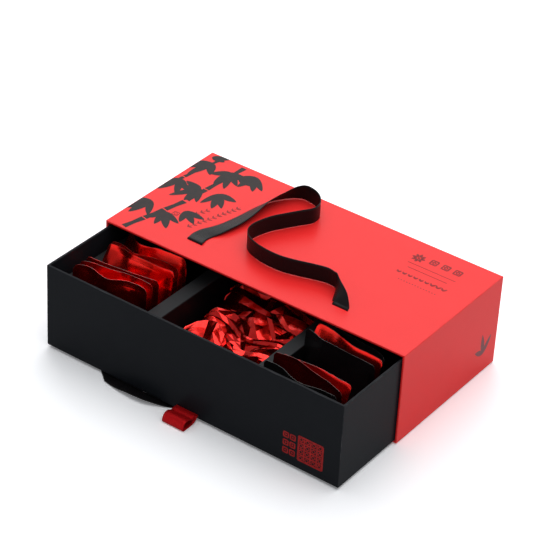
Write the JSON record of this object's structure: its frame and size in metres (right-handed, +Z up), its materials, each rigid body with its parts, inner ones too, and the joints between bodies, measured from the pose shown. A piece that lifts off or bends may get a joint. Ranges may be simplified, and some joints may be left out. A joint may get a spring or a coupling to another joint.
{
  "type": "drawer gift box",
  "caption": "Flat rectangular slipcase box with ribbon handles and a pull-out drawer with a divided card insert, a ribbon pull tab and foil sachets.",
  "frame": {"origin": "middle of the flat underside of the sleeve, with the drawer pulled out as in the picture", "axes": "+X to the right along the width, +Y from the mouth to the back of the sleeve, +Z up; the drawer slides out along -Y"},
  "size_m": [0.3, 0.2432, 0.1017],
  "materials": {
    "red_paper": "satin",
    "black_paper": "satin",
    "grey_board": "matte",
    "black_card": "satin",
    "black_ribbon": "satin",
    "red_ribbon": "satin",
    "red_foil": "polished",
    "black_foil": "polished"
  },
  "bodies": {
    "sleeve": {"base_handle_ribbon": "black_ribbon", "sleeve_back_board": "grey_board", "sleeve_base_board": "grey_board", "sleeve_base_sheet": "red_paper", "sleeve_left_board": "grey_board", "sleeve_lining": "black_paper", "sleeve_printed_wrap": "red_paper", "sleeve_right_board": "grey_board", "sleeve_top_board": "grey_board", "top_handle_ribbon": "black_ribbon"},
    "drawer": {"drawer_back_board": "grey_board", "drawer_base_board": "grey_board", "drawer_front_board": "grey_board", "drawer_left_board": "grey_board", "drawer_lining": "black_paper", "drawer_right_board": "grey_board", "drawer_wrap": "black_paper", "insert_base_card": "black_card", "insert_left_divider": "black_card", "insert_left_ledge": "black_card", "insert_right_divider": "black_card", "insert_right_ledge": "black_card", "left_sachet_1": "red_foil", "left_sachet_2": "red_foil", "left_sachet_3": "red_foil", "left_sachet_4": "red_foil", "left_sachet_5": "red_foil", "left_sachet_6": "red_foil", "middle_sachet_1": "red_foil", "middle_sachet_2": "red_foil", "middle_sachet_3": "red_foil", "middle_sachet_4": "red_foil", "middle_sachet_5": "red_foil", "middle_sachet_6": "red_foil", "pull_tab_tail": "red_ribbon", "right_sachet_1": "black_foil", "right_sachet_2": "red_foil", "right_sachet_3": "red_foil", "right_sachet_4": "black_foil", "right_sachet_5": "red_foil", "right_sachet_6": "black_foil"},
    "pull_tab": {"pull_tab_loop": "red_ribbon"}
  },
  "joints": [
    {"name": "drawer_slide", "type": "slide", "parent": "sleeve", "child": "drawer", "axis": [0, -1, 0], "range_m": [-0.0774, 0.07]},
    {"name": "pull_tab_lift", "type": "hinge", "parent": "drawer", "child": "pull_tab", "pos_m": [0, -0.15075, 0.005], "axis": [-1, 0, 0], "range_deg": [0, 60]}
  ]
}
